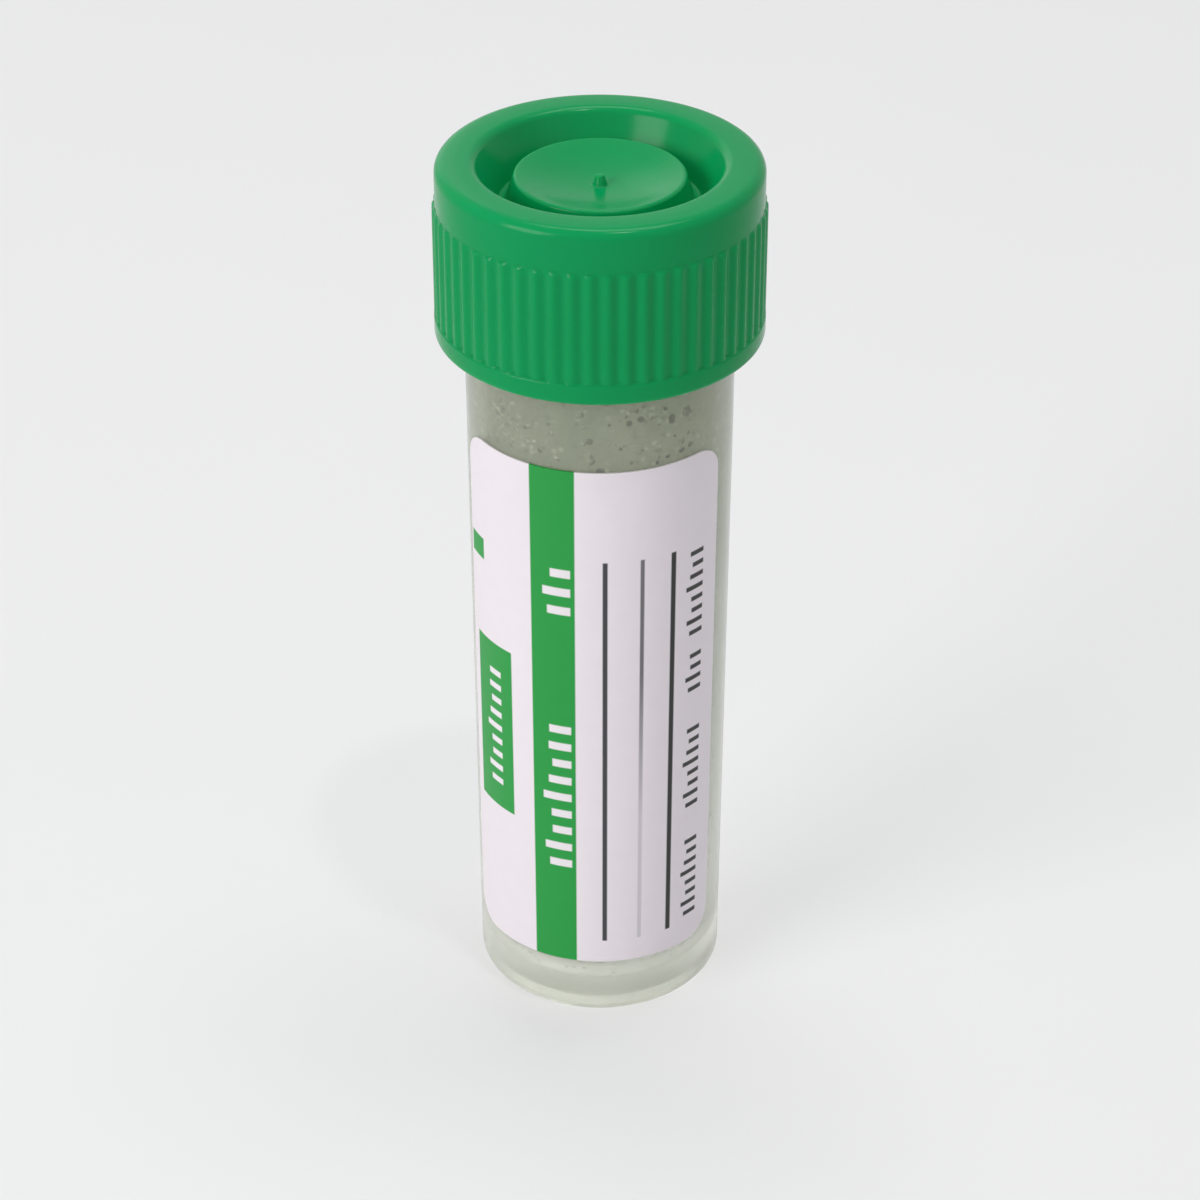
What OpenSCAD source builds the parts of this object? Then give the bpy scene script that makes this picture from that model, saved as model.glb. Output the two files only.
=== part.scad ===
// Blood collection tube: a tapered, flat-based 5 ml tube with a ribbed screw cap,
// a wrap-round paper label and sprayed additive droplets on its inner wall.
// The base stands on z = 0 and the axis is Z. The label's middle faces -Y.

/* [Tube] */
// Height of the tube from the ground to its rim
tube_h = 50.15; // [40:0.05:75]
// Outer diameter at the rim
rim_od = 14.9; // [13:0.1:20]
// Outer diameter at the base, less than at the rim by the mould's draft
base_od = 14.2; // [12.5:0.1:19]
// Thickness of the side wall
tube_wall = 0.95; // [0.7:0.05:1.4]
// Thickness of the floor
floor_t = 1.3; // [0.8:0.1:2.5]
// Radius of the curve where the bore meets the floor
floor_round = 3; // [1.5:0.1:4.5]
// Length of the straight mouth that the cap's plug seals in
mouth_len = 5.5; // [4.5:0.1:8]
// Depth of the recess under the base
recess_depth = 0.5; // [0.2:0.1:0.9]
// Width of the standing ring round that recess
foot_w = 1.5; // [1:0.1:2.5]
// Radius on the outer edge of the base
base_round = 0.8; // [0.3:0.1:1.2]

/* [Thread] */
// Height of the thread above the neck
thread_h = 0.4; // [0.25:0.05:0.6]
// Rise of the thread in one turn
thread_pitch = 2.6; // [2:0.1:3.2]
// Width of the thread at its crest
thread_crest = 0.35; // [0.2:0.05:0.6]
// Distance from the rim down to the first turn
thread_start = 1.7; // [1:0.1:2.5]
// Number of turns
thread_turns = 2; // [1:1:3]

/* [Cap] */
// Thickness of the flange that covers the tube's rim
cap_top_t = 1.8; // [1.4:0.1:2.5]
// Thickness of the skirt between two ribs
skirt_wall = 0.82; // [0.6:0.02:1.4]
// Height of a grip rib
rib_h = 0.15; // [0.08:0.01:0.2]
// Radius of a rib's round back
rib_round = 0.28; // [0.22:0.01:0.32]
// Number of grip ribs
rib_count = 58; // [36:1:60]
// Smooth band above the ribs
upper_band = 2.4; // [1.6:0.1:3]
// Smooth band below the ribs
lower_band = 1.3; // [0.8:0.1:2]
// Length of skirt below the thread's last turn
thread_cover = 1.3; // [1:0.1:4]
// Rounding of the cap's top edge
cap_round = 0.7; // [0.3:0.05:1]
// Rounding of the skirt's bottom edge
skirt_round = 0.3; // [0.1:0.05:0.35]

/* [Plug and recess] */
// Length of the plug inside the mouth
plug_len = 2.8; // [2.2:0.1:4]
// Thickness of the plug's wall
plug_wall = 0.92; // [0.6:0.02:1.2]
// Depth of the ring groove in the top
groove_depth = 2.6; // [1.8:0.1:3]
// Inward slope of the groove's outer wall
groove_slope = 1.2; // [0.6:0.1:1.6]
// Width of the groove's floor
groove_floor = 0.35; // [0.2:0.05:0.8]
// Inward slope of the groove's inner wall
groove_inner_slope = 0.55; // [0.3:0.05:0.9]
// Drop from the cap's top to the edge of the middle disc
disc_drop = 0.8; // [0.4:0.1:1.2]
// Depth of the disc's dish below its edge
dish_depth = 0.7; // [0.3:0.1:0.9]
// Thickness of the disc
disc_t = 1; // [0.7:0.1:1.4]
// Radius of the moulding nub in the middle of the dish
nub_r = 0.4; // [0.2:0.05:0.8]
// Height of that nub
nub_h = 0.6; // [0.3:0.1:0.7]

/* [Label] */
// Width of the label round the tube
label_w = 16.8; // [12:0.1:24]
// Thickness of the label
label_t = 0.1; // [0.06:0.01:0.2]
// Bare tube between the cap's skirt and the label
label_top_gap = 4.9; // [2:0.1:8]
// Bare tube between the label and the ground
label_base_gap = 4; // [2:0.1:8]
// Radius of the label's corners
label_corner = 1.8; // [0.8:0.1:2.5]

/* [Additive] */
// Number of large droplets
drop_count = 48; // [20:1:60]
// Height of a droplet above the wall
drop_h = 0.16; // [0.1:0.02:0.24]
// Radius of the largest droplet
drop_r = 0.5; // [0.3:0.05:0.8]
// Bare wall between the droplets and the plug, and above the floor's curve
drop_margin = 2; // [1:0.1:4]

/* [Fits] */
// Gap between the plug and the mouth
plug_gap = 0.08; // [0.05:0.01:0.15]
// Gap between the tube's rim and the cap's flange
seat_gap = 0.05; // [0.02:0.01:0.1]
// Gap between the thread's crest and the skirt
skirt_gap = 0.15; // [0.1:0.01:0.25]
// Layer of glue under the label
glue_gap = 0.02; // [0.01:0.01:0.05]
// Gap between a droplet and the wall
film_gap = 0.01; // [0.01:0.01:0.03]

/* [Hidden] */
$fn = 96;
eps = 0.01;
arc_steps = 6;
golden_deg = 137.508;

rim_r = rim_od / 2;
base_r = base_od / 2;
mouth_r = rim_r - tube_wall;
bore_base_r = base_r - tube_wall;
mouth_z = tube_h - mouth_len;
rim_round = tube_wall / 4;
neck_r = rim_r;
gate_r = 1;
gate_h = recess_depth / 2;

cap_top_z = tube_h + seat_gap + cap_top_t;
cap_h = cap_top_t + thread_start + thread_turns * thread_pitch + thread_cover;
skirt_z = cap_top_z - cap_h;
skirt_in_r = neck_r + thread_h + skirt_gap;
skirt_r = skirt_in_r + skirt_wall;
crest_r = skirt_r + rib_h;
cap_r = crest_r + 0.03;
rib_top_z = cap_top_z - upper_band;
rib_bottom_z = skirt_z + lower_band;

plug_r = mouth_r - plug_gap;
plug_lead = 0.3;
groove_out_r = plug_r - plug_wall;
groove_top_r = groove_out_r + groove_slope;
groove_in_r = groove_out_r - groove_floor;
disc_r = groove_in_r - groove_inner_slope;
disc_edge = 0.15;
groove_skin = 1;
dish_steps = 10;

label_top_z = skirt_z - label_top_gap;
label_bottom_z = label_base_gap;
label_deg = label_w / ((rim_r + base_r) / 2) * 180 / PI;

drop_bottom_z = floor_t + floor_round + drop_margin;
drop_top_z = cap_top_z - cap_top_t - plug_len - drop_margin;

// Outer radius of the tube at height z
function tube_r(z) = base_r + (rim_r - base_r) * z / tube_h;
// Radius of the bore at height z, from the floor's curve to the mouth
function bore_r(z) =
    z > mouth_z ? mouth_r : bore_base_r + (mouth_r - bore_base_r) * z / mouth_z;
// Points of an arc about (cx, cy) from angle a0 to a1
function arc(cx, cy, r, a0, a1) =
    [for (i = [0:arc_steps]) let (a = a0 + (a1 - a0) * i / arc_steps)
        [cx + r * cos(a), cy + r * sin(a)]];
// Height of the dish's upper surface at radius r, below the cap's top
function dish_z(r) = -disc_drop - dish_depth * (1 - pow(r / disc_r, 2));

// One solid turn: wall, floor, standing ring and the recess inside it
module tube_body() {
    floor_arc_r = bore_r(floor_t + floor_round);
    ring_in_r = base_r - foot_w;
    rotate_extrude()
        polygon(concat(
            [[0, recess_depth], [ring_in_r - recess_depth, recess_depth], [ring_in_r, 0]],
            arc(base_r - base_round, base_round, base_round, -90, 0),
            arc(rim_r - rim_round, tube_h - rim_round, rim_round, 0, 90),
            arc(mouth_r + rim_round, tube_h - rim_round, rim_round, 90, 180),
            [[mouth_r, mouth_z]],
            arc(floor_arc_r - floor_round, floor_t + floor_round, floor_round, 0, -90),
            [[0, floor_t]]
        ));
}

// The thread as plain rings with the section and spacing of its turns
module thread_rings() {
    flank = thread_h + thread_crest / 2;
    for (i = [0:thread_turns])
        translate([0, 0, tube_h - thread_start - i * thread_pitch])
            rotate_extrude()
                polygon([
                    [neck_r - thread_h, -flank],
                    [neck_r + thread_h, -thread_crest / 2],
                    [neck_r + thread_h, thread_crest / 2],
                    [neck_r - thread_h, flank]
                ]);
}

module tube() {
    color([0.8, 0.83, 0.78, 0.5]) {
        tube_body();
        difference() {
            thread_rings();
            translate([0, 0, mouth_z - mouth_len])
                cylinder(r = (mouth_r + neck_r) / 2, h = 2 * mouth_len);
        }
        translate([0, 0, recess_depth - gate_h])
            cylinder(r = gate_r, h = gate_h + floor_t / 2);
    }
}

// Section of the cap without its ribs, measured down from its top
module cap_section() {
    z_flange = -cap_top_t;
    z_plug = -cap_top_t - plug_len;
    z_trough = -groove_depth - groove_skin;
    z_skirt = -cap_h;
    under_r = disc_r - groove_skin / 2;
    lip_r = groove_out_r;
    leg_r = groove_in_r - groove_skin / 2;
    polygon(concat(
        [for (i = [0:dish_steps]) let (r = (disc_r - disc_edge) * i / dish_steps) [r, dish_z(r)]],
        arc(disc_r - disc_edge, dish_z(disc_r) - disc_edge, disc_edge, 80, 10),
        [[groove_in_r, -groove_depth], [groove_out_r, -groove_depth]],
        arc(groove_top_r + disc_edge, -disc_edge, disc_edge, 155, 90),
        arc(skirt_r - cap_round, -cap_round, cap_round, 90, 0),
        [[skirt_r, z_skirt + lower_band], [cap_r, z_skirt + lower_band - rib_h]],
        arc(cap_r - skirt_round, z_skirt + skirt_round, skirt_round, 0, -90),
        [[skirt_in_r + skirt_round, z_skirt], [skirt_in_r, z_skirt + skirt_round]],
        [[skirt_in_r, z_flange], [plug_r, z_flange]],
        [[plug_r, z_plug + plug_lead], [plug_r - plug_lead, z_plug], [lip_r, z_plug]],
        [[lip_r, z_trough], [leg_r, z_trough]],
        [for (i = [0:dish_steps]) let (r = under_r * (1 - i / dish_steps)) [r, dish_z(r) - disc_t]]
    ));
}

// Grip ribs: round bars sunk into the skirt, with round tops
module ribs() {
    sunk_r = crest_r - rib_round;
    for (i = [0:rib_count - 1])
        rotate([0, 0, 360 * i / rib_count])
            translate([0, -sunk_r, 0]) {
                translate([0, 0, rib_bottom_z - rib_h])
                    cylinder(r = rib_round, h = rib_top_z - rib_round - rib_bottom_z + rib_h, $fn = 16);
                translate([0, 0, rib_top_z - rib_round])
                    sphere(r = rib_round, $fn = 16);
            }
}

module cap() {
    nub_base_z = cap_top_z + dish_z(0) - disc_t / 2;
    color([0.04, 0.52, 0.28]) {
        translate([0, 0, cap_top_z])
            rotate_extrude()
                cap_section();
        ribs();
        translate([0, 0, nub_base_z])
            cylinder(r1 = nub_r, r2 = nub_r / 2, h = disc_t / 2 + nub_h);
    }
}

// What is left outside a round corner, as a radial bar at the label's corner
module corner_cut() {
    rotate([90, 0, 0])
        linear_extrude(height = rim_od)
            difference() {
                translate([-eps, -eps])
                    square(label_corner + eps);
                translate([label_corner, label_corner])
                    circle(r = label_corner);
            }
}

module label() {
    in_top = tube_r(label_top_z) + glue_gap;
    in_bottom = tube_r(label_bottom_z) + glue_gap;
    color([0.96, 0.95, 0.95])
        difference() {
            rotate([0, 0, -90 - label_deg / 2])
                rotate_extrude(angle = label_deg)
                    polygon([
                        [in_bottom, label_bottom_z],
                        [in_bottom + label_t, label_bottom_z],
                        [in_top + label_t, label_top_z],
                        [in_top, label_top_z]
                    ]);
            rotate([0, 0, -label_deg / 2]) {
                translate([0, 0, label_bottom_z])
                    corner_cut();
                translate([0, 0, label_top_z])
                    mirror([0, 0, 1])
                        corner_cut();
            }
            rotate([0, 0, label_deg / 2])
                mirror([1, 0, 0]) {
                    translate([0, 0, label_bottom_z])
                        corner_cut();
                    translate([0, 0, label_top_z])
                        mirror([0, 0, 1])
                            corner_cut();
                }
        }
}

// One dried droplet: a shallow dome that rises from z = 0
module droplet(r, h) {
    rotate_extrude($fn = 48)
        polygon([[0, 0], [r, 0], [0.8 * r, 0.5 * h], [0.4 * r, 0.9 * h], [0, h]]);
}

// Droplets spread up the bore on a golden-angle spiral, each on the chord of the wall behind it
module additive() {
    step_z = (drop_top_z - drop_bottom_z) / drop_count;
    color([0.88, 0.9, 0.86])
        for (i = [0:drop_count - 1]) {
            z = drop_bottom_z + (i + 0.5) * step_z;
            r = drop_r * (0.6 + 0.4 * abs(sin(i * golden_deg * 2)));
            wall_r = bore_r(z - r) - film_gap;
            rotate([0, 0, i * golden_deg])
                translate([sqrt(pow(wall_r, 2) - pow(r, 2)), 0, z])
                    rotate([0, -90, 0])
                        droplet(r, drop_h * r / drop_r);
        }
}

tube();
cap();
label();
additive();
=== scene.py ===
import bmesh
import bpy
import math
import random
from mathutils import Matrix, Vector


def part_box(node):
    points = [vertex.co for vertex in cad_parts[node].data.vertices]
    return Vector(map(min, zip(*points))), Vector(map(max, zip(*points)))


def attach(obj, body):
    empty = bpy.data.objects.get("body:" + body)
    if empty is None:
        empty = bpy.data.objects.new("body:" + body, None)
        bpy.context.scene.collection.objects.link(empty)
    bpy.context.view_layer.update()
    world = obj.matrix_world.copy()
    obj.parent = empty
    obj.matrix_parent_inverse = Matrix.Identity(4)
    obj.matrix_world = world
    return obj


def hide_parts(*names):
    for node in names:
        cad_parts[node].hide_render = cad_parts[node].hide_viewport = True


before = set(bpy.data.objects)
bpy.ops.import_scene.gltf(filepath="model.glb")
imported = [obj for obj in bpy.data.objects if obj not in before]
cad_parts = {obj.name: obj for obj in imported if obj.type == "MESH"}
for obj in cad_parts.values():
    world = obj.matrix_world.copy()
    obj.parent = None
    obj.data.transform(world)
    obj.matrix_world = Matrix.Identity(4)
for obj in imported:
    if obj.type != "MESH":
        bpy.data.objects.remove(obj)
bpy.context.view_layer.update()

# ---------------------------------------------------------------- camera
# The camera stands well above the cap, a little to the right of the label's
# middle, and looks down at the standing tube from a hand's length away.
MM = 0.001
tube_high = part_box("tube")[1]
cap_low, cap_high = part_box("cap")
eye_round = math.radians(6.5)
eye_distance = 166 * MM
eye_above_cap = 77 * MM
eye = Vector((
    eye_distance * math.sin(eye_round),
    -eye_distance * math.cos(eye_round),
    cap_high.z + eye_above_cap,
))
look_at = Vector((0, 0, 0.47 * cap_high.z))
gaze = (look_at - eye).to_track_quat("-Z", "Y").to_euler()
bpy.ops.object.camera_add(location=eye, rotation=gaze)
camera = bpy.context.object
camera.data.lens = 103
camera.data.sensor_width = 36
camera.data.clip_start = 0.01
camera.data.clip_end = 20
bpy.context.scene.camera = camera

# ---------------------------------------------------------------- tube
# The tube is one thin moulding in milky polypropylene, drawn in towards its
# foot by the mould's draft, with a foot ring and a thread round its neck. Its
# upper part is painted darker, as painted shade from the cap and the things
# around it, and the additive inside lies as a fine mist on its wall.
merge_reach = 0.002 * MM


def select_nearest(piece, r, z):
    """Selects the vertex of the half section that lies nearest to radius r and height z."""
    mesh = bmesh.from_edit_mesh(piece.data)
    bpy.ops.mesh.select_all(action="DESELECT")
    min(mesh.verts, key=lambda v: (v.co.x - r) ** 2 + (v.co.z - z) ** 2).select = True
    bmesh.update_edit_mesh(piece.data)


def turned(name, corners, steps):
    """Draws a half section corner by corner, rounds the corners and spins it about the axis.
    A corner is (radius, height, rounding), all in millimetres."""
    bpy.ops.object.select_all(action="DESELECT")
    bpy.ops.mesh.primitive_plane_add(size=MM)
    piece = bpy.context.object
    piece.name = name
    bpy.ops.object.mode_set(mode="EDIT")
    bpy.ops.mesh.merge(type="CENTER")
    bpy.ops.transform.translate(value=(corners[0][0] * MM, 0, corners[0][1] * MM))
    for (r0, z0, _), (r1, z1, _) in zip(corners, corners[1:]):
        step = ((r1 - r0) * MM, 0, (z1 - z0) * MM)
        bpy.ops.mesh.extrude_region_move(TRANSFORM_OT_translate={"value": step})
    for r, z, rounding in corners:
        if rounding:
            select_nearest(piece, r * MM, z * MM)
            facets = max(6, round(6 * rounding))
            bpy.ops.mesh.bevel(offset=rounding * MM, segments=facets, affect="VERTICES")
    bpy.ops.mesh.select_all(action="SELECT")
    bpy.ops.mesh.spin(steps=steps, angle=2 * math.pi, center=(0, 0, 0), axis=(0, 0, 1))
    bpy.ops.mesh.select_all(action="SELECT")
    bpy.ops.mesh.remove_doubles(threshold=merge_reach)
    bpy.ops.mesh.normals_make_consistent(inside=False)
    bpy.ops.object.mode_set(mode="OBJECT")
    return piece


base_r, rim_r, wall = 7.1, 7.45, 0.95
gate_r, gate_z = 1.0, 0.25
recess_r, recess_z = base_r - 2.0, 0.5
floor_z, floor_rounding = 1.3, 3.0
tube_top = tube_high.z / MM
mouth_r, mouth_z = rim_r - wall, tube_top - 5.5
tube = turned(
    "tube_body",
    [
        (0, gate_z, 0),
        (gate_r, gate_z, 0.1),
        (gate_r + 0.1, recess_z, 0.1),
        (recess_r, recess_z, 0.2),
        (recess_r + 0.5, 0, 0.15),
        (base_r, 0, 0.8),
        (rim_r, tube_top, 0.24),
        (mouth_r, tube_top, 0.3),
        (mouth_r, mouth_z, 0),
        (base_r - wall, floor_z, floor_rounding),
        (0, floor_z, 0),
    ],
    steps=192,
)


def apply_modifiers(piece):
    """Applies every modifier of a piece, in order."""
    bpy.context.view_layer.objects.active = piece
    for modifier in list(piece.modifiers):
        bpy.ops.object.modifier_apply(modifier=modifier.name)


def pick(piece, wanted):
    """In edit mode, selects the vertices whose place passes a test, and nothing else."""
    bpy.ops.mesh.select_mode(type="VERT")
    bpy.ops.mesh.select_all(action="DESELECT")
    mesh = bmesh.from_edit_mesh(piece.data)
    for vertex in mesh.verts:
        if wanted(vertex.co):
            vertex.select_set(True)
    mesh.select_flush_mode()
    bmesh.update_edit_mesh(piece.data)


thread_pitch, thread_foot, thread_crest = 2.6, 1.05, 0.35
thread_steps, thread_run_out = 72, 14


def thread_ridge(root_r, crest_r, z_low, turns):
    """A right-handed ridge of thread, wound up the axis and sunk at both its ends.
    Its section is a trapezium, broad at the root and narrow at the crest."""
    bpy.ops.object.select_all(action="DESELECT")
    place = ((root_r + crest_r) / 2 * MM, 0, z_low * MM)
    bpy.ops.mesh.primitive_plane_add(size=MM, rotation=(math.pi / 2, 0, 0), location=place)
    ridge = bpy.context.object
    bpy.ops.transform.resize(value=(abs(crest_r - root_r), 1, thread_foot))
    bpy.ops.object.transform_apply()
    bpy.ops.object.mode_set(mode="EDIT")
    bpy.ops.mesh.delete(type="ONLY_FACE")
    pick(ridge, lambda place: abs(place.x - crest_r * MM) < 0.01 * MM)
    narrower = (1, 1, thread_crest / thread_foot)
    bpy.ops.transform.resize(value=narrower, center_override=(0, 0, z_low * MM))
    bpy.ops.object.mode_set(mode="OBJECT")
    winding = ridge.modifiers.new("winding", "SCREW")
    winding.angle = 2 * math.pi * turns
    winding.screw_offset = thread_pitch * turns * MM
    winding.steps = winding.render_steps = int(thread_steps * turns)
    apply_modifiers(ridge)

    def turn_at(place):
        """How many turns up the ridge a place lies."""
        part_turn = math.atan2(place.y, place.x) / (2 * math.pi) % 1
        return part_turn + round((place.z / MM - z_low) / thread_pitch - part_turn)

    bpy.ops.object.mode_set(mode="EDIT")
    for step in range(thread_run_out):
        sink = (1 - step / thread_run_out) * (crest_r - root_r) / crest_r
        for turn in (step / thread_steps, turns - step / thread_steps):
            pick(ridge, lambda place: abs(turn_at(place) - turn) < 0.2 / thread_steps)
            bpy.ops.transform.resize(value=(1 - sink, 1 - sink, 1), center_override=(0, 0, 0))
    bpy.ops.mesh.select_all(action="SELECT")
    bpy.ops.mesh.fill_holes(sides=4)
    bpy.ops.mesh.normals_make_consistent(inside=False)
    bpy.ops.object.mode_set(mode="OBJECT")
    return ridge


def weld(piece, other):
    """Joins another closed solid to a piece, so that the two are one moulding."""
    union = piece.modifiers.new("union", "BOOLEAN")
    union.operation = "UNION"
    union.solver = "MANIFOLD"
    union.object = other
    apply_modifiers(piece)
    bpy.data.objects.remove(other)


def smooth(piece, degrees):
    """Smooth shading, with edges sharper than the given angle kept crisp."""
    bpy.ops.object.select_all(action="DESELECT")
    piece.select_set(True)
    bpy.context.view_layer.objects.active = piece
    bpy.ops.object.shade_smooth_by_angle(angle=math.radians(degrees))


thread_low = tube_top - 1.7 - 2 * thread_pitch
weld(tube, thread_ridge(rim_r - 0.2, rim_r + 0.4, thread_low, turns=2))
smooth(tube, 32)


def finish_in(piece, material):
    """Gives the whole piece one material."""
    piece.data.materials.clear()
    piece.data.materials.append(material)


def new_material(name):
    """A material with an empty Principled shader, and that shader."""
    material = bpy.data.materials.new(name)
    material.use_nodes = True
    return material, material.node_tree.nodes["Principled BSDF"]


def connect(material, value, socket):
    """Joins an output to a socket, or sets the socket to a plain value."""
    if isinstance(value, bpy.types.NodeSocket):
        material.node_tree.links.new(value, socket)
    else:
        socket.default_value = value


def add_node(material, kind, **settings):
    """Adds a node. A setting names a property, or an input by its name."""
    node = material.node_tree.nodes.new(kind)
    for key, value in settings.items():
        if hasattr(node, key):
            setattr(node, key, value)
        else:
            connect(material, value, node.inputs[key.replace("_", " ")])
    return node


def math_node(material, operation, *values):
    """A Math node on one or two values or outputs."""
    node = add_node(material, "ShaderNodeMath", operation=operation)
    for value, socket in zip(values, node.inputs):
        connect(material, value, socket)
    return node.outputs[0]


def product(material, first, *others):
    """Multiplies values or outputs together."""
    for other in others:
        first = math_node(material, "MULTIPLY", first, other)
    return first


def span(material, value, low, high, start=0.0, end=1.0):
    """Goes from low to high as an output goes from start to end, and no further."""
    ends = {"From_Min": start, "From_Max": end, "To_Min": low, "To_Max": high}
    return add_node(material, "ShaderNodeMapRange", Value=value, **ends).outputs[0]


def own_place(material):
    """A place on the piece, on the piece's own axes in metres."""
    return add_node(material, "ShaderNodeTexCoord").outputs["Object"]


def length_of(material, vector):
    """The length of a vector."""
    node = add_node(material, "ShaderNodeVectorMath", operation="LENGTH")
    connect(material, vector, node.inputs[0])
    return node.outputs["Value"]


def noise(material, scale, detail=2.0, stretch=(1, 1, 1)):
    """Noise on the piece's own axes, with features about 1 / scale metres across."""
    place = add_node(material, "ShaderNodeMapping", Vector=own_place(material), Scale=stretch)
    settings = {"Vector": place.outputs[0], "Scale": scale, "Detail": detail}
    return add_node(material, "ShaderNodeTexNoise", **settings).outputs["Fac"]


def roughen(material, shader, height, depth):
    """Gives a surface relief of the given depth in metres."""
    bump = add_node(material, "ShaderNodeBump", Height=height, Distance=depth)
    connect(material, bump.outputs[0], shader.inputs["Normal"])


def blend(material, share, first, second):
    """Mixes two colours or colour outputs, by a 0 to 1 share of the second."""
    mix = add_node(material, "ShaderNodeMix", data_type="RGBA")
    connect(material, share, mix.inputs["Factor"])
    for colour, socket in ((first, mix.inputs[6]), (second, mix.inputs[7])):
        connect(material, (*colour, 1) if isinstance(colour, tuple) else colour, socket)
    return mix.outputs[2]


def mix_shaders(material, share, first, second, output="Material Output"):
    """Shows a mix of two shaders, by a 0 to 1 share of the second."""
    mix = add_node(material, "ShaderNodeMixShader", Fac=share)
    connect(material, first.outputs[0], mix.inputs[1])
    connect(material, second.outputs[0], mix.inputs[2])
    connect(material, mix.outputs[0], material.node_tree.nodes[output].inputs["Surface"])


def light_passes(material, shader, share):
    """Lets a share of the lamps' light through a see-through wall, as a thin milky wall does."""
    path = add_node(material, "ShaderNodeLightPath")
    passing = product(material, path.outputs["Is Shadow Ray"], share)
    mix_shaders(material, passing, shader, add_node(material, "ShaderNodeBsdfTransparent"))


tube_plastic, shader = new_material("milky_polypropylene")
tube_place = own_place(tube_plastic)
tube_axes = add_node(tube_plastic, "ShaderNodeSeparateXYZ", Vector=tube_place)


def up_tube(low, high, at_low=0.0, at_high=1.0):
    """A value that goes from at_low to at_high between two heights in millimetres."""
    return span(tube_plastic, tube_axes.outputs["Z"], at_low, at_high, low * MM, high * MM)


cloud = noise(tube_plastic, 260, 3)
plain_milk = blend(tube_plastic, cloud, (0.81, 0.83, 0.74), (0.88, 0.895, 0.82))
# Painted shade: the tube's colour turns darker and greyer from 10 mm up to 36 mm, and eases off
# under the cap.
shaded_milk = blend(tube_plastic, cloud, (0.45, 0.515, 0.395), (0.61, 0.615, 0.51))
painted_shade = product(tube_plastic, up_tube(10, 36), up_tube(43, 47, 1, 0.3))
milk_and_shade = blend(tube_plastic, painted_shade, plain_milk, shaded_milk)
across_axis = add_node(
    tube_plastic, "ShaderNodeCombineXYZ", X=tube_axes.outputs["X"], Y=tube_axes.outputs["Y"]
)
off_axis = length_of(tube_plastic, across_axis.outputs[0])
inside = math_node(tube_plastic, "LESS_THAN", off_axis, (base_r - wall / 2) * MM)
sprayed = product(tube_plastic, inside, up_tube(42, 44, 1, 0), up_tube(0.8, 1.0))
spots = add_node(tube_plastic, "ShaderNodeTexVoronoi", Vector=tube_place, Scale=2600)
chance = add_node(tube_plastic, "ShaderNodeSeparateColor", Color=spots.outputs["Color"])
density = span(tube_plastic, noise(tube_plastic, 420, 3), 0, 1.35, 0.33, 0.75)
wanted_size = product(tube_plastic, density, chance.outputs["Red"])
spot_size = math_node(tube_plastic, "MINIMUM", wanted_size, 0.36)
spotted = math_node(tube_plastic, "LESS_THAN", spots.outputs["Distance"], spot_size)
pale_spot = math_node(tube_plastic, "GREATER_THAN", chance.outputs["Green"], 0.5)
mist = blend(tube_plastic, pale_spot, (0.30, 0.33, 0.25), (0.96, 0.97, 0.93))
tube_colour = blend(tube_plastic, product(tube_plastic, sprayed, spotted), milk_and_shade, mist)
connect(tube_plastic, tube_colour, shader.inputs["Base Color"])
shader.inputs["Transmission Weight"].default_value = 0.75
shader.inputs["IOR"].default_value = 1.49
flow_lines = noise(tube_plastic, 700, 2, stretch=(1, 1, 0.06))
wall_gloss = span(tube_plastic, flow_lines, 0.13, 0.2)
tube_gloss = math_node(tube_plastic, "ADD", wall_gloss, up_tube(0.5, 8, 0.055, 0))
connect(tube_plastic, tube_gloss, shader.inputs["Roughness"])
roughen(tube_plastic, shader, product(tube_plastic, flow_lines, up_tube(5, 9)), 0.008 * MM)
light_passes(tube_plastic, shader, 0.95)
finish_in(tube, tube_plastic)
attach(tube, "tube_body")
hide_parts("tube")

# ---------------------------------------------------------------- cap
# The screw cap is one moulding in green polypropylene. Fine ribs round its
# skirt give grip, a thread inside holds it on the neck, and a hollow plug
# under the ring groove seals the mouth.
cap_top = cap_high.z / MM
skirt_bottom = cap_low.z / MM
skirt_r, band_r, skirt_in_r, plug_r = 8.82, 9.0, 8.0, mouth_r - 0.08
groove_out_r = plug_r - 0.92
groove_in_r = groove_out_r - 0.35
disc_r, disc_drop, dish_depth, disc_t = groove_in_r - 0.55, 0.8, 0.7, 1.0
rib_top, rib_bottom, rib_height = cap_top - 2.4, skirt_bottom + 1.3, 0.17
rib_count, columns_per_rib = 58, 8
rib_end = ((0.13, 0.8), (0.22, 0.95), (0.36, 1))


def dish(r):
    """Height of the dished disc at radius r."""
    return cap_top - disc_drop - dish_depth * (1 - (r / disc_r) ** 2)


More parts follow.
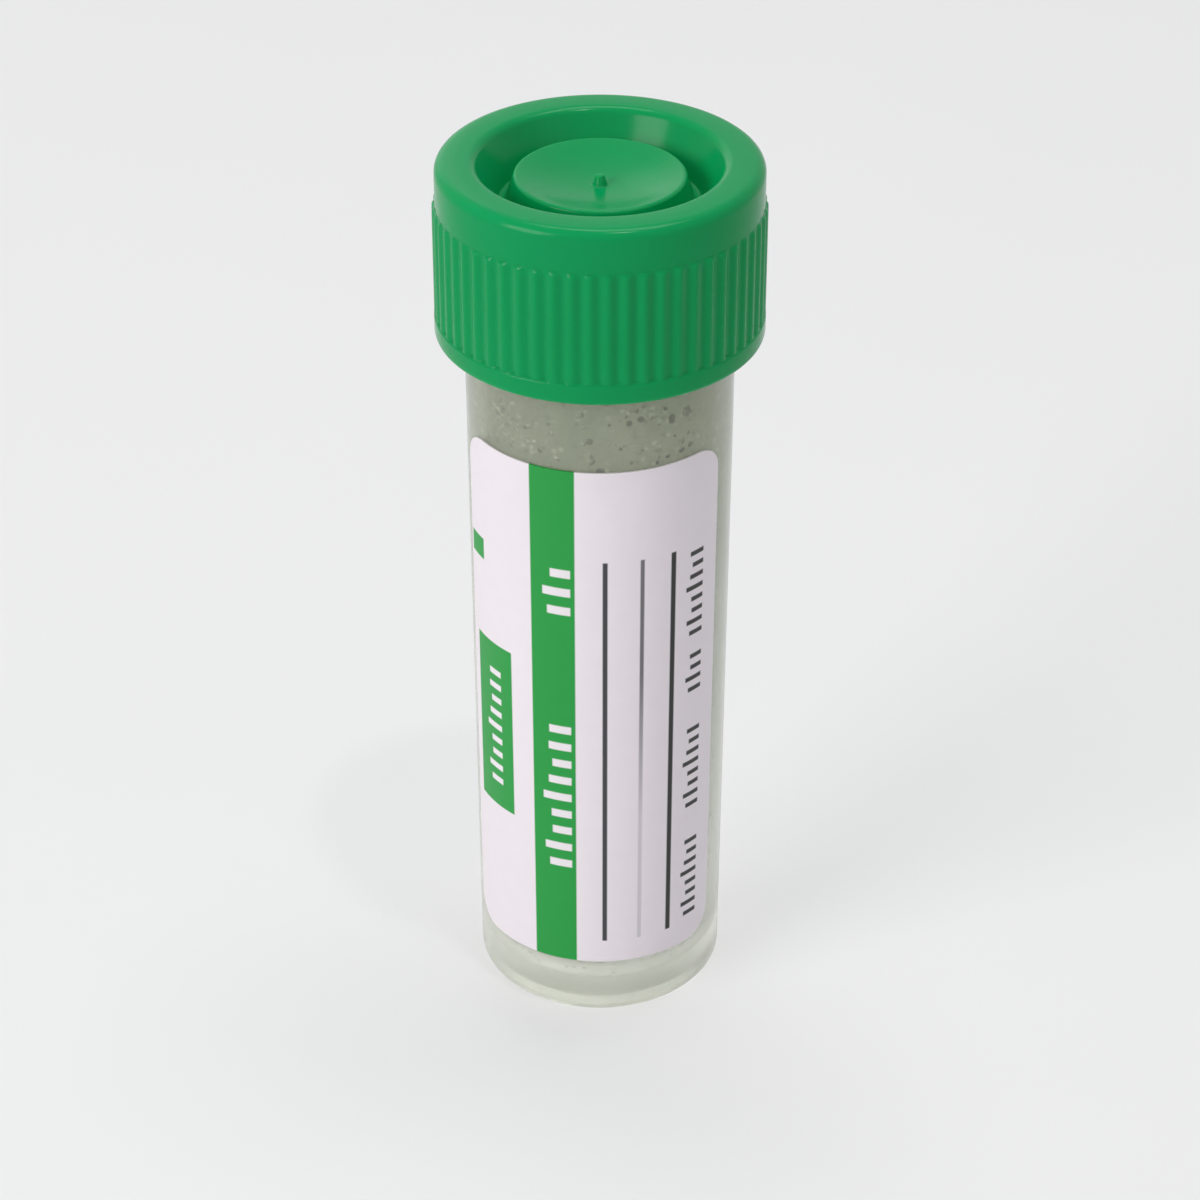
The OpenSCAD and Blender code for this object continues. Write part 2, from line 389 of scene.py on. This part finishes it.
groove, flange, plug_end, trough = cap_top - 2.6, cap_top - 1.8, cap_top - 4.6, cap_top - 3.6
pip_r, pip_foot_r, pip_top = 0.22, 0.4, dish(0) + 0.6
under_r = disc_r - 0.5
cap = turned(
    "screw_cap",
    [
        (0, pip_top, 0),
        (pip_r, pip_top, 0.08),
        (pip_foot_r, dish(pip_foot_r), 0.1),
        *[(r, dish(r), 0) for r in (1.2, 2.0, 2.8, 3.6)],
        (disc_r, dish(disc_r), 0.2),
        (groove_in_r, groove, 0.15),
        (groove_out_r, groove, 0.15),
        (groove_out_r + 1.2, cap_top, 0.35),
        (skirt_r, cap_top, 0.6),
        (skirt_r, rib_top + 0.1, 0),
        (skirt_r, rib_top, 0),
        *[(skirt_r, rib_top - depth, 0) for depth, _ in rib_end],
        (skirt_r, rib_bottom, 0),
        (band_r, rib_bottom - 0.15, 0.06),
        (band_r, skirt_bottom, 0.3),
        (skirt_in_r, skirt_bottom, 0.3),
        (skirt_in_r, flange, 0.4),
        (plug_r, flange, 0.15),
        (plug_r, plug_end + 0.3, 0.1),
        (plug_r - 0.3, plug_end, 0.1),
        (groove_out_r, plug_end, 0.15),
        (groove_out_r, trough, 0.3),
        (groove_in_r - 0.5, trough, 0.3),
        (under_r, dish(under_r) - disc_t, 0.4),
        *[(r, dish(r) - disc_t, 0) for r in (2.6, 1.3, 0)],
    ],
    steps=rib_count * columns_per_rib,
)
column_angle = 2 * math.pi / (rib_count * columns_per_rib)
rib_rings = [(rib_top - depth, rise) for depth, rise in rib_end] + [(rib_bottom, 1)]


def on_ring(place, ring_z, columns_off):
    """Whether a place is on a ring of the skirt, and so many columns off a rib's ridge."""
    column = round(math.atan2(place.y, place.x) / column_angle) % columns_per_rib
    on_skirt = abs(place.z / MM - ring_z) < 0.01 and place.xy.length > (skirt_r - 0.1) * MM
    return on_skirt and min(column, columns_per_rib - column) == columns_off


bpy.ops.object.mode_set(mode="EDIT")
for ring_z, rise in rib_rings:
    for columns_off in range(columns_per_rib // 2):
        ridge = 0.5 + 0.5 * math.cos(2 * math.pi * columns_off / columns_per_rib)
        swell = 1 + rise * ridge * rib_height / skirt_r
        pick(cap, lambda place: on_ring(place, ring_z, columns_off))
        bpy.ops.transform.resize(value=(swell, swell, 1), center_override=(0, 0, 0))
bpy.ops.object.mode_set(mode="OBJECT")
cap_thread_low = thread_low + thread_pitch / 2
weld(cap, thread_ridge(skirt_in_r + 0.15, skirt_in_r - 0.4, cap_thread_low, turns=1.75))
smooth(cap, 32)

cap_plastic, shader = new_material("green_polypropylene")
swirl = noise(cap_plastic, 90, 3)
green = blend(cap_plastic, swirl, (0.0, 0.29, 0.078), (0.001, 0.35, 0.105))
connect(cap_plastic, green, shader.inputs["Base Color"])
shader.inputs["IOR"].default_value = 1.49
shader.inputs["Specular IOR Level"].default_value = 0.14
shader.inputs["Subsurface Weight"].default_value = 0.25
shader.inputs["Subsurface Radius"].default_value = (0.1, 1.0, 0.4)
shader.inputs["Subsurface Scale"].default_value = 0.8 * MM
grain = noise(cap_plastic, 2600, 2)
connect(cap_plastic, span(cap_plastic, grain, 0.15, 0.23), shader.inputs["Roughness"])
roughen(cap_plastic, shader, grain, 0.005 * MM)
finish_in(cap, cap_plastic)
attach(cap, "cap_body")
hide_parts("cap")

# ---------------------------------------------------------------- label
# The label is a sheet of white coated paper with round corners, wrapped a
# third of the way round the tube. Its print runs along the tube's length.
label_low, label_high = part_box("label")
label_bottom, label_top = label_low.z / MM, label_high.z / MM
label_thickness, label_gap, label_corner, label_width = 0.1, 0.02, 1.8, 16.8
cuts_per_corner = 8
label_r = (rim_r + base_r) / 2
label_angle = label_width / label_r
label_middle = -math.pi / 2
left_edge = label_middle - label_angle / 2


def tube_radius(z):
    """Outer radius of the tube at height z."""
    return base_r + (rim_r - base_r) * z / tube_top


def place_at(angle, r, z):
    """The place at an angle round the axis, and at a radius and a height in millimetres."""
    return Vector((r * math.cos(angle), r * math.sin(angle), z)) * MM


bpy.ops.object.select_all(action="DESELECT")
bpy.ops.mesh.primitive_plane_add(size=MM)
label = bpy.context.object
label.name = "paper_label"
bpy.ops.object.mode_set(mode="EDIT")
bpy.ops.mesh.merge(type="CENTER")
low_end = place_at(left_edge, tube_radius(label_bottom) + label_gap, label_bottom)
high_end = place_at(left_edge, tube_radius(label_top) + label_gap, label_top)
bpy.ops.transform.translate(value=low_end)
bpy.ops.mesh.extrude_region_move(TRANSFORM_OT_translate={"value": high_end - low_end})
bpy.ops.mesh.select_all(action="SELECT")
bpy.ops.mesh.spin(steps=72, angle=-label_angle, center=(0, 0, 0), axis=(0, 0, 1))
for side in (-1, 1):
    edge = label_middle + side * label_angle / 2
    outward = Vector((-math.sin(edge), math.cos(edge), 0)) * side
    for up, z in ((-1, label_bottom), (1, label_top)):
        inwards = (outward + Vector((0, 0, up))) * label_corner * MM
        centre = place_at(edge, tube_radius(z), z) - inwards
        for cut in range(cuts_per_corner):
            lean = math.radians(90 * (cut + 0.5) / cuts_per_corner)
            normal = outward * math.cos(lean) + Vector((0, 0, up * math.sin(lean)))
            bpy.ops.mesh.select_all(action="SELECT")
            bpy.ops.mesh.bisect(
                plane_co=centre + normal * label_corner * MM,
                plane_no=normal,
                clear_outer=True,
                threshold=0.0001 * MM,
            )
bpy.ops.mesh.select_all(action="SELECT")
bpy.ops.mesh.remove_doubles(threshold=merge_reach)
bpy.ops.mesh.flip_normals()
bpy.ops.object.mode_set(mode="OBJECT")
stock = label.modifiers.new("stock", "SOLIDIFY")
stock.thickness = label_thickness * MM
stock.offset = 1
apply_modifiers(label)
smooth(label, 40)

paper, shader = new_material("coated_paper")
paper_axes = add_node(paper, "ShaderNodeSeparateXYZ", Vector=own_place(paper))
towards_front = product(paper, paper_axes.outputs["Y"], -1)
turn = math_node(paper, "ARCTAN2", paper_axes.outputs["X"], towards_front)
across = product(paper, turn, label_r)
along = product(paper, paper_axes.outputs["Z"], 1000)
ink_edge = 0.07
off_paper = 60


def strip(value, low, high):
    """1 where a value lies between low and high, with a printed edge's softness."""
    above = product(paper, math_node(paper, "SUBTRACT", value, low), 1 / ink_edge)
    below = product(paper, math_node(paper, "SUBTRACT", high, value), 1 / ink_edge)
    nearest = math_node(paper, "MINIMUM", above, below)
    return math_node(paper, "MINIMUM", math_node(paper, "MAXIMUM", nearest, 0), 1)


def block(left, right, low, high):
    """1 inside a printed rectangle, in millimetres across the paper and up the tube."""
    return product(paper, strip(across, left, right), strip(along, low, high))


def ticks(left, right, low, count, pitch):
    """A column of short strokes across the tube, uneven in length, from a height upwards."""
    step = math_node(paper, "DIVIDE", math_node(paper, "SUBTRACT", along, low), pitch)
    number = math_node(paper, "FLOOR", step)
    chance = add_node(paper, "ShaderNodeTexWhiteNoise", noise_dimensions="1D", W=number)
    indent = product(paper, chance.outputs["Value"], 0.35 * (right - left))
    height = product(paper, math_node(paper, "FRACT", step), pitch)
    stroke = strip(height, 0.25 * pitch, 0.75 * pitch)
    indented = strip(math_node(paper, "SUBTRACT", across, indent), left, off_paper)
    column = block(-off_paper, right, low, low + count * pitch)
    return product(paper, stroke, indented, column)


fibre = noise(paper, 900, 4)
# The paper is white; its pink tint, shared by the white ink, is a painted reflection of pink
# surroundings.
colour = blend(paper, fibre, (0.885, 0.815, 0.86), (0.92, 0.85, 0.895))
green_ink, white_ink = (0.002, 0.33, 0.042), (0.9, 0.85, 0.88)
black_ink, grey_ink = (0.012, 0.012, 0.012), (0.045, 0.045, 0.05)
stripe = (-3.12, -0.5, 0, off_paper)
mark = (-8.25, -6.75, 29.4, 30.8)
badge = (-7.75, -4.5, 13.2, 24.4)
for area in (stripe, mark, badge):
    colour = blend(paper, block(*area), colour, green_ink)
stripe_title = (-2.5, -0.75, 27.6, 3, 1.2)
stripe_text = (-2.5, -0.75, 10.4, 9, 1.16)
badge_text = (-6.8, -5.4, 14.6, 9, 0.92)
for column in (stripe_title, stripe_text, badge_text):
    colour = blend(paper, ticks(*column), colour, white_ink)
line_low, line_high = 5.5, 31.5
faint = span(paper, along, 0.25, 0.85, 14, 24)
colour = blend(paper, block(0.93, 1.27, line_low, line_high), colour, grey_ink)
faint_line = product(paper, faint, block(2.99, 3.29, line_low, line_high))
colour = blend(paper, faint_line, colour, grey_ink)
colour = blend(paper, block(4.81, 5.19, line_low, line_high), colour, black_ink)
for low, count in ((25.3, 8), (21.5, 4), (13.5, 8), (5.7, 8)):
    colour = blend(paper, ticks(5.85, 7.2, low, count, 0.74), colour, black_ink)
connect(paper, colour, shader.inputs["Base Color"])
connect(paper, span(paper, fibre, 0.4, 0.52), shader.inputs["Roughness"])
roughen(paper, shader, fibre, 0.006 * MM)
finish_in(label, paper)
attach(label, "tube_body")
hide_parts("label")

# ---------------------------------------------------------------- additive
# The additive was sprayed inside and dried on the wall as thousands of small
# pale and dark beads, in splashes, and thickest over the upper half.
random.seed(7)
bpy.ops.object.select_all(action="DESELECT")
bpy.ops.mesh.primitive_uv_sphere_add(segments=8, ring_count=6, radius=MM)
bead = bpy.context.object
bpy.ops.object.mode_set(mode="EDIT")
bpy.ops.mesh.select_all(action="SELECT")
bpy.ops.mesh.bisect(plane_co=(0, 0, 0), plane_no=(0, 0, 1), clear_inner=True, use_fill=True)
bpy.ops.object.mode_set(mode="OBJECT")
bpy.ops.object.shade_smooth()
additive_low, additive_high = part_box("additive")
bead_count, splash_count, share_in_splashes = 2400, 34, 0.6
usual_size, largest_size, wall_gap = 0.065, 0.28, 0.01
splashes = [
    (random.uniform(0, 2 * math.pi), random.uniform(14, 42)) for _ in range(splash_count)
]
beads = []
while len(beads) < bead_count:
    angle = random.uniform(0, 2 * math.pi)
    z = random.uniform(additive_low.z, additive_high.z) / MM
    if random.random() < share_in_splashes:
        splash_angle, splash_z = random.choice(splashes)
        angle, z = random.gauss(splash_angle, 0.24), random.gauss(splash_z, 2.4)
    crowding = 0.3 + 0.7 * min(1, (z - 6) / 25)
    if not additive_low.z < z * MM < additive_high.z or random.random() > crowding:
        continue
    size = min(largest_size, usual_size * math.exp(random.gauss(0.35, 0.45)))
    inner_r = tube_radius(z) - wall
    on_wall = place_at(angle, inner_r - wall_gap - size * size / (2 * inner_r), z)
    drop = bead.copy()
    drop.data = bead.data.copy()
    bpy.context.collection.objects.link(drop)
    inwards = Vector((-math.cos(angle), -math.sin(angle), 0))
    facing = inwards.to_track_quat("Z", "Y").to_matrix().to_4x4()
    width, depth = size * random.uniform(0.8, 1.3), size * random.uniform(0.3, 0.5)
    shape = Matrix.Diagonal((size, width, depth, 1))
    drop.matrix_world = Matrix.Translation(on_wall) @ facing @ shape
    beads.append(drop)
bpy.data.objects.remove(bead)
bpy.ops.object.select_all(action="DESELECT")
for drop in beads:
    drop.select_set(True)
additive = beads[0]
bpy.context.view_layer.objects.active = additive
bpy.ops.object.join()
additive.name = "dried_additive"
bpy.ops.object.transform_apply()

residue, shader = new_material("dried_residue")
crystals = noise(residue, 5000, 2)
flecks = add_node(residue, "ShaderNodeTexVoronoi", Vector=own_place(residue), Scale=1700)
fleck = add_node(residue, "ShaderNodeSeparateColor", Color=flecks.outputs["Color"])
pale = blend(residue, crystals, (0.88, 0.89, 0.85), (0.97, 0.97, 0.94))
murky = blend(residue, crystals, (0.07, 0.08, 0.06), (0.16, 0.17, 0.13))
pale_fleck = math_node(residue, "GREATER_THAN", fleck.outputs["Red"], 0.5)
connect(residue, blend(residue, pale_fleck, murky, pale), shader.inputs["Base Color"])
shader.inputs["Transmission Weight"].default_value = 0.2
shader.inputs["IOR"].default_value = 1.5
connect(residue, span(residue, crystals, 0.05, 0.25), shader.inputs["Roughness"])
finish_in(additive, residue)
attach(additive, "tube_body")
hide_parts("additive")

# ---------------------------------------------------------------- stage
# A pale matt table in a white room, a large soft lamp at the upper left, weak
# ones at the right and behind, a narrow one overhead, and a small one for the
# cap's glint.
bpy.ops.object.select_all(action="DESELECT")
bpy.ops.mesh.primitive_plane_add(size=3)
table = bpy.context.object
table.name = "table"
table_top, shader = new_material("matt_table")
speckle = noise(table_top, 60, 3)
table_colour = blend(table_top, speckle, (0.86, 0.855, 0.86), (0.88, 0.875, 0.88))
connect(table_top, table_colour, shader.inputs["Base Color"])
shader.inputs["Roughness"].default_value = 0.8


def background_share(material, share):
    """A share for what is seen, straight or through gloss and clear walls, not for light."""
    path = add_node(material, "ShaderNodeLightPath")
    seen = math_node(
        material, "MAXIMUM", path.outputs["Is Camera Ray"], path.outputs["Is Glossy Ray"]
    )
    seen = math_node(material, "MAXIMUM", seen, path.outputs["Is Transmission Ray"])
    return product(material, seen, share)


paleness = span(table_top, length_of(table_top, own_place(table_top)), 0.3, 0.65, 0.1, 0.8)
white = add_node(table_top, "ShaderNodeEmission")
mix_shaders(table_top, background_share(table_top, paleness), shader, white)
finish_in(table, table_top)

world = bpy.data.worlds.new("room")
bpy.context.scene.world = world
world.use_nodes = True
room = world.node_tree.nodes["Background"]
room.inputs["Color"].default_value = (0.96, 0.98, 1.0, 1)
room.inputs["Strength"].default_value = 0.36
backdrop = add_node(world, "ShaderNodeBackground", Color=(1, 1, 1, 1), Strength=0.77)
mix_shaders(world, background_share(world, 1), room, backdrop, output="World Output")


def lamp(name, place, aim, width, depth, power):
    """A soft rectangular lamp that faces a point, its power in watts."""
    bpy.ops.object.light_add(type="AREA", location=place)
    light = bpy.context.object
    light.name = name
    light.rotation_euler = (Vector(aim) - Vector(place)).to_track_quat("-Z", "Y").to_euler()
    light.data.shape = "RECTANGLE"
    light.data.size = width
    light.data.size_y = depth
    light.data.energy = power


tube_middle, cap_middle = (0, 0, 0.03), (0, 0, 0.05)
lamp("left_lamp", (-0.38, -0.38, 0.28), tube_middle, 0.3, 0.3, 1.65)
lamp("right_lamp", (0.4, -0.25, 0.25), tube_middle, 0.25, 0.25, 0.03)
lamp("top_lamp", (0.02, 0.1, 0.45), tube_middle, 0.3, 0.12, 0.6)
lamp("back_lamp", (-0.25, 0.5, 0.25), tube_middle, 0.3, 0.3, 0.12)
lamp("glint_lamp", (0.084, -0.1, 0.48), cap_middle, 0.025, 0.025, 0.2)
bpy.context.scene.view_settings.view_transform = "Standard"
